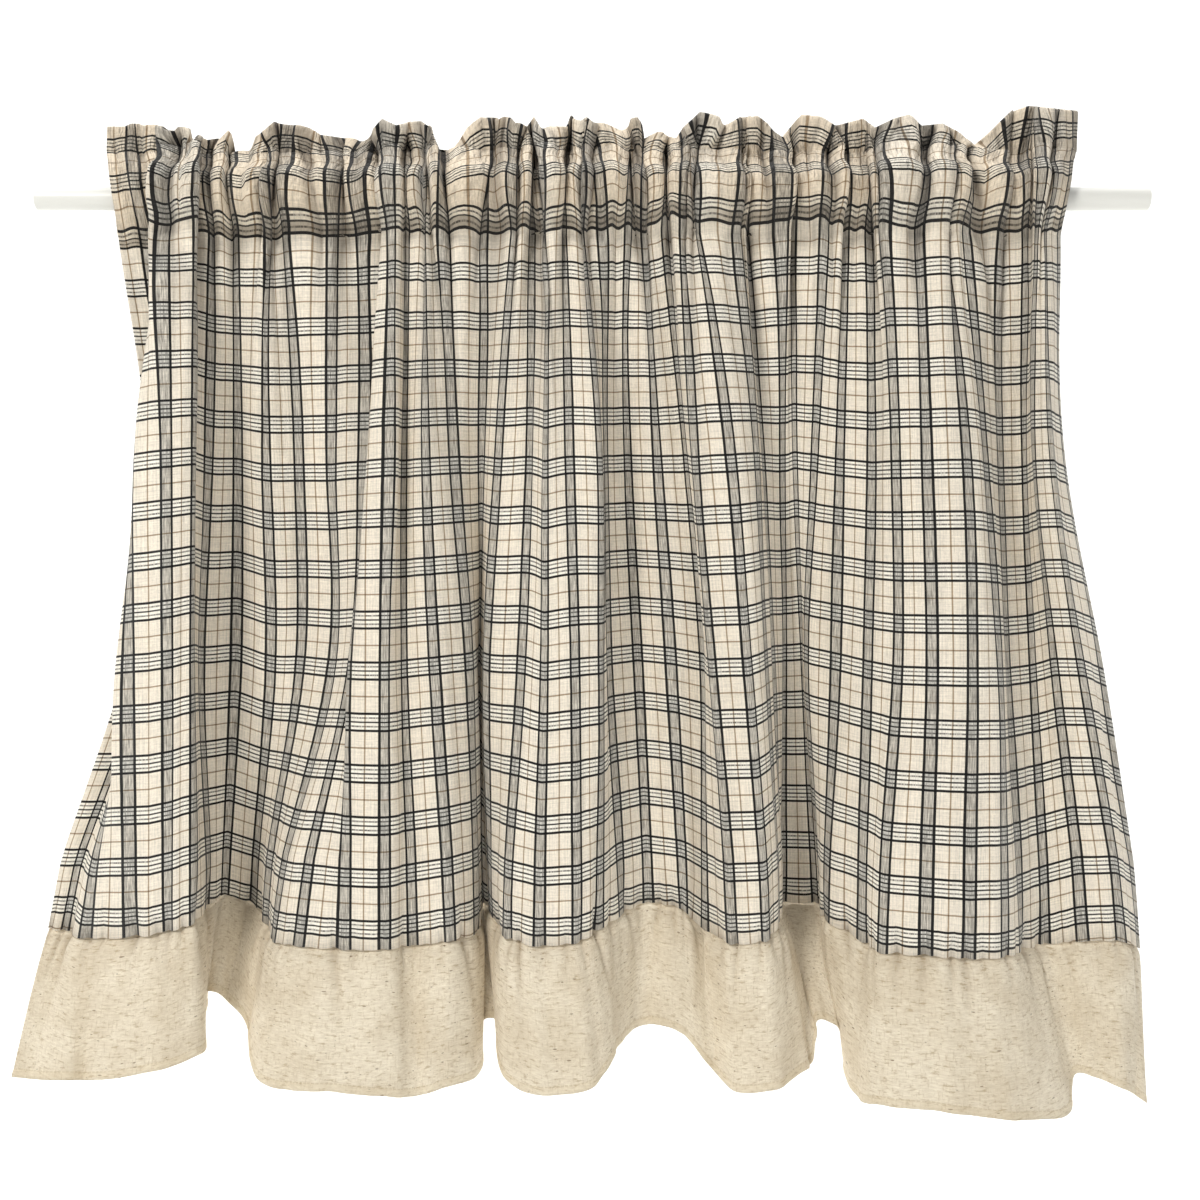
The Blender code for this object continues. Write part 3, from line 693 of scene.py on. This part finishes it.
def plaid_material():
    m = Nodes("plaid_cotton_weave")
    uv = m.new("ShaderNodeUVMap", uv_map="cloth").outputs[0]
    sep = m.new("ShaderNodeSeparateXYZ")
    m.put(sep.inputs[0], uv)
    u, v = sep.outputs[0], sep.outputs[1]
    # threads wander a little
    drift = m.noise(m.stretch(uv, 0.35, 1.4), 1.0, 2.0)
    u = m.math("ADD", u, m.math("MULTIPLY", m.math("SUBTRACT", drift, 0.5), 0.020))
    du = m.math("PINGPONG", u, 0.5)
    dv = m.math("PINGPONG", v, 0.5)

    # fine thread streaks along the warp and along the weft
    warp_thread = m.noise(m.stretch(uv, 34.0, 2.6), 1.0, 3.0, 0.7)
    weft_thread = m.noise(m.stretch(uv, 2.4, 38.0), 1.0, 3.0, 0.7)
    warp_slub = m.noise(m.stretch(uv, 24.0, 0.9), 1.0, 2.0, 0.6)
    weft_slub = m.noise(m.stretch(uv, 0.8, 30.0), 1.0, 2.0, 0.6)

    cream = srgb(238, 228, 211)
    white = srgb(250, 247, 236)
    tan = srgb(150, 127, 96)
    grey = srgb(176, 173, 166)
    pale_grey = srgb(214, 208, 194)
    black = srgb(13, 12, 13)

    # warp: grey band between two black lines, a tan line mid ground and a pale
    # grey line on each side of it
    band = m.ramp(du, 0.132, 0.142, 1.0, 0.0)
    heather = m.ramp(warp_thread, 0.30, 0.72, 0.0, 1.0)
    band_col = m.mix(heather, srgb(140, 135, 126), srgb(218, 211, 198))
    warp = m.mix(band, cream, band_col)
    warp = m.mix(m.math("MULTIPLY", m.line(du, 0.262, 0.006, 0.010), 0.55), warp, pale_grey)
    warp = m.mix(m.math("MULTIPLY", m.line(du, 0.345, 0.004, 0.010), 0.35), warp, pale_grey)
    warp = m.mix(m.math("MULTIPLY", m.ramp(du, 0.476, 0.488, 0.0, 1.0), 0.85), warp, tan)
    warp = m.mix(m.math("MULTIPLY", m.line(du, 0.149, 0.029, 0.010), 0.99), warp, black)

    # weft: five lines, black, grey, black, grey, black, and a tan line between
    # two groups
    near_group = m.ramp(dv, 0.165, 0.178, 1.0, 0.0)
    weft = m.mix(m.math("MULTIPLY", near_group, 0.6), cream, white)
    dots = m.ramp(warp_thread, 0.32, 0.62, 0.30, 0.95)
    weft = m.mix(m.math("MULTIPLY", m.line(dv, 0.083, 0.010, 0.012), dots), weft, srgb(74, 70, 66))
    weft = m.mix(m.math("MULTIPLY", m.line(dv, 0.0, 0.011, 0.009), 0.95), weft, black)
    weft = m.mix(m.math("MULTIPLY", m.line(dv, 0.166, 0.019, 0.009), 0.99), weft, black)
    weft = m.mix(m.math("MULTIPLY", m.ramp(dv, 0.480, 0.490, 0.0, 1.0), 0.85), weft, tan)

    cloth = m.mix(1.0, warp, weft, "MULTIPLY")
    cloth = m.mix(1.0, cloth, (1.0 / cream[0], 1.0 / cream[1], 1.0 / cream[2], 1.0), "MULTIPLY")
    # over and under threads show through as lighter and darker flecks
    fleck = m.math("ADD", m.math("MULTIPLY", m.math("SUBTRACT", warp_thread, 0.5), 0.55),
                   m.math("MULTIPLY", m.math("SUBTRACT", weft_thread, 0.5), 0.55))
    fleck = m.math("ADD", fleck, m.math("MULTIPLY", m.math("SUBTRACT", warp_slub, 0.5), 0.28))
    fleck = m.math("ADD", fleck, m.math("MULTIPLY", m.math("SUBTRACT", weft_slub, 0.5), 0.28))
    grain = m.noise(m.stretch(uv, 20.0, 20.0), 1.0, 2.0, 0.7)
    fleck = m.math("ADD", fleck, m.math("MULTIPLY", m.math("SUBTRACT", grain, 0.5), 0.35))
    tone = m.math("ADD", 1.0, fleck)
    grey_tone = m.new("ShaderNodeCombineColor")
    for i in range(3):
        m.put(grey_tone.inputs[i], tone)
    cloth = m.mix(1.0, cloth, grey_tone.outputs[0], "MULTIPLY")
    # painted shade: two layers of cloth let less light through than one, so the cloth above the pocket's foot is
    # darkened in its colour, less where the folds hang clear
    loose = m.new("ShaderNodeAttribute", attribute_name="loose").outputs["Fac"]
    double_cloth_shade = m.math("SUBTRACT", 1.0, m.math("MULTIPLY", loose, 0.75))
    cloth = m.mix(m.math("MULTIPLY", m.ramp(v, 0.180, 0.200, 1.0, 0.0), double_cloth_shade), cloth, srgb(247, 241, 233), "MULTIPLY")
    # painted shade: a darker band along the foot of the double cloth, just below the first weft stripe group, weakened
    # where the folds hang clear
    pocket_foot_shade = m.line(v, 0.095, 0.078, 0.010)
    cloth = m.mix(m.math("MULTIPLY", pocket_foot_shade, m.math("MULTIPLY", double_cloth_shade, 0.75)), cloth, srgb(178, 174, 170), "MULTIPLY")
    # painted shade: tight valleys, lobe creases and tucks are darkened in the colour
    crease_shade = m.new("ShaderNodeAttribute", attribute_name="crease_shade").outputs["Fac"]
    cloth = m.mix(m.math("MULTIPLY", crease_shade, 0.90), cloth, srgb(62, 50, 43), "MULTIPLY")
    m.put(m.shader.inputs["Base Color"], cloth)
    m.put(m.shader.inputs["Roughness"], m.ramp(warp_thread, 0.2, 0.8, 0.84, 0.95))
    m.shader.inputs["Specular IOR Level"].default_value = 0.22
    m.shader.inputs["Sheen Weight"].default_value = 0.12
    m.shader.inputs["Sheen Roughness"].default_value = 0.6

    # plain weave: threads over and under at a half millimetre
    wave_u = m.math("SINE", m.math("MULTIPLY", u, 2 * math.pi * 26.0))
    wave_v = m.math("SINE", m.math("MULTIPLY", v, 2 * math.pi * 30.0))
    weave = m.math("MULTIPLY", wave_u, wave_v)
    height = m.math("ADD", m.math("MULTIPLY", weave, 0.30),
                    m.math("ADD", warp_thread, weft_thread))
    bump = m.new("ShaderNodeBump")
    bump.inputs["Strength"].default_value = 0.35
    bump.inputs["Distance"].default_value = 0.0005
    m.put(bump.inputs["Height"], height)
    # small creases where the cloth is gathered
    packed = m.new("ShaderNodeAttribute", attribute_name="gather").outputs["Fac"]
    crease = m.math("ADD", m.noise(m.stretch(uv, 5.0, 1.3), 1.0, 3.0, 0.6),
                    m.math("MULTIPLY", m.noise(m.stretch(uv, 11.0, 2.6), 1.0, 2.0, 0.5), 0.5))
    soft = m.new("ShaderNodeBump")
    soft.inputs["Strength"].default_value = 0.9
    soft.inputs["Distance"].default_value = 0.009
    m.put(soft.inputs["Height"], m.math("MULTIPLY", crease, m.math("ADD", m.math("MULTIPLY", packed, 1.0), 0.12)))
    m.put(soft.inputs["Normal"], bump.outputs[0])
    m.put(m.shader.inputs["Normal"], soft.outputs[0])
    return m.mat


def linen_material():
    m = Nodes("oatmeal_linen_weave")
    uv = m.new("ShaderNodeUVMap", uv_map="cloth").outputs[0]
    base = srgb(223, 211, 189)
    pale = srgb(240, 230, 209)
    dark = srgb(178, 157, 124)
    weft = m.noise(m.stretch(uv, 200.0, 900.0), 1.0, 3.0, 0.65)
    warp = m.noise(m.stretch(uv, 800.0, 170.0), 1.0, 3.0, 0.65)
    slub = m.noise(m.stretch(uv, 150.0, 620.0), 1.0, 3.0, 0.65)
    cloud = m.noise(m.stretch(uv, 22.0, 26.0), 1.0, 3.0, 0.6)
    col = m.mix(m.ramp(weft, 0.35, 0.68), base, pale)
    col = m.mix(m.math("MULTIPLY", m.ramp(warp, 0.52, 0.72), 0.45), col, dark)
    col = m.mix(m.math("MULTIPLY", m.ramp(slub, 0.55, 0.66), 0.66), col, dark)
    col = m.mix(m.math("MULTIPLY", m.ramp(slub, 0.40, 0.28), 0.55), col, srgb(252, 244, 224))
    col = m.mix(m.math("MULTIPLY", m.ramp(cloud, 0.35, 0.70), 0.32), col, dark)
    fleck = m.noise(m.stretch(uv, 240.0, 700.0), 1.0, 0.0)
    col = m.mix(m.math("MULTIPLY", m.ramp(fleck, 0.79, 0.83), 0.75), col, srgb(120, 98, 70))
    # painted shade: the turned hem is double and lets less light through, so its colour is made a little darker
    turn = m.new("ShaderNodeAttribute", attribute_name="turn").outputs["Fac"]
    col = m.mix(m.ramp(turn, 0.0054, 0.0044, 0.0, 0.22), col, srgb(214, 196, 160))
    stitch_run = m.new("ShaderNodeSeparateXYZ")
    m.put(stitch_run.inputs[0], uv)
    dash = m.ramp(m.math("PINGPONG", m.math("MULTIPLY", stitch_run.outputs[0], 380.0), 0.5), 0.12, 0.2)
    stitch = m.math("MULTIPLY", m.line(turn, 0.0046, 0.00025, 0.00025), dash)
    col = m.mix(m.math("MULTIPLY", stitch, 0.30), col, srgb(176, 156, 120))
    # painted shade: the tucks are darkened in the colour
    crease_shade = m.new("ShaderNodeAttribute", attribute_name="crease_shade").outputs["Fac"]
    col = m.mix(m.math("MULTIPLY", crease_shade, 0.9), col, srgb(150, 128, 98), "MULTIPLY")
    m.put(m.shader.inputs["Base Color"], col)
    m.put(m.shader.inputs["Roughness"], m.ramp(weft, 0.2, 0.8, 0.86, 0.96))
    m.shader.inputs["Specular IOR Level"].default_value = 0.2
    m.shader.inputs["Sheen Weight"].default_value = 0.12
    m.shader.inputs["Sheen Roughness"].default_value = 0.6
    height = m.math("ADD", m.math("ADD", weft, m.math("MULTIPLY", warp, 0.8)),
                    m.math("MULTIPLY", slub, 1.1))
    bump = m.new("ShaderNodeBump")
    bump.inputs["Strength"].default_value = 0.5
    bump.inputs["Distance"].default_value = 0.0007
    m.put(bump.inputs["Height"], height)
    m.put(m.shader.inputs["Normal"], bump.outputs[0])
    return m.mat


def rod_material():
    m = Nodes("rod_off_white_paint")
    geo = m.new("ShaderNodeTexCoord").outputs["Object"]
    broad = m.noise(m.stretch(geo, 6.0, 60.0, 60.0), 1.0, 3.0)
    fine = m.noise(geo, 900.0, 2.0)
    col = m.mix(m.ramp(broad, 0.3, 0.7), srgb(226, 226, 220), srgb(234, 234, 229))
    m.put(m.shader.inputs["Base Color"], col)
    m.put(m.shader.inputs["Roughness"], m.ramp(broad, 0.2, 0.8, 0.34, 0.46))
    bump = m.new("ShaderNodeBump")
    bump.inputs["Strength"].default_value = 0.08
    bump.inputs["Distance"].default_value = 0.0002
    m.put(bump.inputs["Height"], fine)
    m.put(m.shader.inputs["Normal"], bump.outputs[0])
    return m.mat


# ------------------------------------------------------------------ assemble
P, S, T, gather, crease_shade, loose = panel_surface()
panel = mesh_from_grid("plaid_cloth", P, S, T, {"gather": gather, "crease_shade": crease_shade,
                                                   "loose": loose})
solid = panel.modifiers.new("thickness", "SOLIDIFY")
solid.thickness = THICK
solid.offset = 0.0
panel.data.materials.append(plaid_material())

P, U, V, turn, crease_shade = ruffle_surface()
ruffle = mesh_from_grid("linen_ruffle", P, U, V, {"turn": turn, "crease_shade": crease_shade})
solid = ruffle.modifiers.new("thickness", "SOLIDIFY")
solid.thickness = 0.0007
solid.offset = 0.0
ruffle.data.materials.append(linen_material())

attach(panel, "root")
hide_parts("plaid_panel")
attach(ruffle, "root")
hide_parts("hem_ruffle")

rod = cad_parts["rod"]
rod.data.materials.clear()
rod.data.materials.append(rod_material())

# --------------------------------------------------------------------- stage
def stage_floor():
    """A pale sheet: flat floor, curving up behind into a plain backdrop."""
    rows = []
    z0, front, back, r = -0.80, -2.6, 1.5, 0.7
    rows.append((front, z0))
    rows.append((back - r, z0))
    for k in range(1, 13):
        a = math.pi / 2 * k / 12
        rows.append((back - r + r * math.sin(a), z0 + r - r * math.cos(a)))
    rows.append((back, 2.6))
    P = np.array([[(x, y, z) for x in (-4.0, 4.0)] for y, z in rows])
    idx = np.arange(len(rows) * 2).reshape(-1, 2)
    faces = [(a[0], a[1], b[1], b[0]) for a, b in zip(idx[:-1].tolist(), idx[1:].tolist())]
    me = bpy.data.meshes.new("pale_floor")
    me.from_pydata(P.reshape(-1, 3).tolist(), [], faces)
    me.shade_smooth()
    ob = bpy.data.objects.new("pale_floor", me)
    bpy.context.scene.collection.objects.link(ob)
    mat = bpy.data.materials.new("pale_floor")
    mat.use_nodes = True
    sh = mat.node_tree.nodes["Principled BSDF"]
    sh.inputs["Base Color"].default_value = (0.93, 0.93, 0.92, 1)
    sh.inputs["Roughness"].default_value = 0.9
    me.materials.append(mat)
    return ob


stage_floor()

world = bpy.data.worlds.new("studio")
world.use_nodes = True
world.node_tree.nodes["Background"].inputs[0].default_value = (1.0, 0.995, 0.98, 1)
world.node_tree.nodes["Background"].inputs[1].default_value = 0.34
bpy.context.scene.world = world


def area(name, at, aim, size, power, colour=(1, 1, 1)):
    light = bpy.data.lights.new(name, "AREA")
    light.shape = "RECTANGLE"
    light.size, light.size_y = size
    light.energy = power
    light.color = colour
    ob = bpy.data.objects.new(name, light)
    ob.location = at
    ob.rotation_euler = (Vector(aim) - Vector(at)).to_track_quat("-Z", "Y").to_euler()
    bpy.context.scene.collection.objects.link(ob)


area("key", (-0.95, -1.55, 0.85), (0, 0, -0.25), (0.5, 0.5), 24.0, (1.0, 0.985, 0.955))
area("fill", (1.5, -1.7, 0.1), (0, 0, -0.3), (1.2, 1.2), 6.0)
area("backdrop", (0.0, 0.3, 1.7), (0.0, 1.5, -0.2), (4.5, 0.8), 55.0)
area("floor", (0.0, 0.4, -0.1), (0.0, 0.9, -0.8), (3.5, 0.3), 9.0)

cam = bpy.data.cameras.new("camera")
cam.sensor_fit = "HORIZONTAL"
cam.sensor_width = 36.0
cam.lens = 36.0 * EYE_RANGE / (1200 * GRID)
cam.shift_x = (600.0 - AXIS_COLUMN) / 1200.0
cam.shift_y = -(600.0 - EYE_ROW) / 1200.0
cam.clip_start, cam.clip_end = 0.02, 50
eye = bpy.data.objects.new("camera", cam)
eye.location = (0.0, -EYE_RANGE, EYE_Z)
eye.rotation_euler = (math.radians(90), 0, 0)
bpy.context.scene.collection.objects.link(eye)
bpy.context.scene.camera = eye
bpy.context.scene.view_settings.view_transform = "Standard"
bpy.context.scene.view_settings.look = "None"
